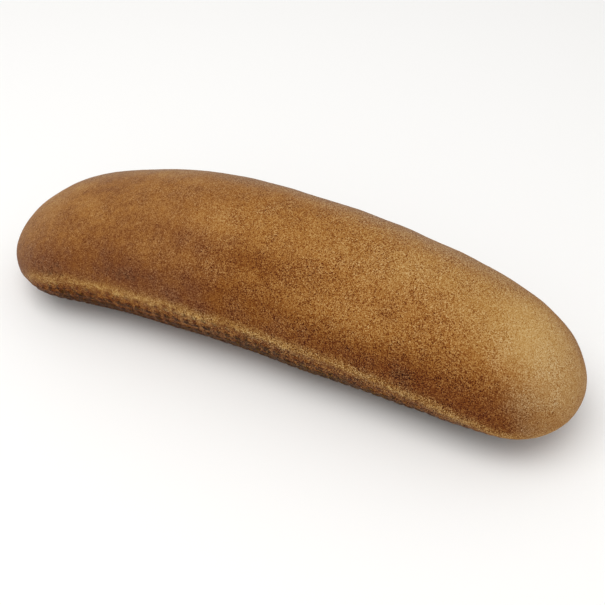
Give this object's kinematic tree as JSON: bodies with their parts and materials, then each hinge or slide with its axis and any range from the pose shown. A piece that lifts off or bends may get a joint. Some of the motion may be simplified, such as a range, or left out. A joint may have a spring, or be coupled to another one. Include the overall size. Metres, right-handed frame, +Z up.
{
  "type": "spelt bread roll",
  "caption": "Long bowed bread roll with a smooth domed top, blunt rounded ends, a pale line along its side and the imprint of a perforated baking trough below it.",
  "frame": {"origin": "centre of the bounding box in plan, at the flat spot that the roll rests on", "axes": "+X along the roll towards its narrower end, +Y towards the outer side of its bow, +Z up"},
  "size_m": [0.221, 0.0672, 0.0536],
  "materials": {
    "crust": "baked crust, dull with a faint sheen"
  },
  "bodies": {
    "root": {"roll": "crust"}
  },
  "joints": []
}
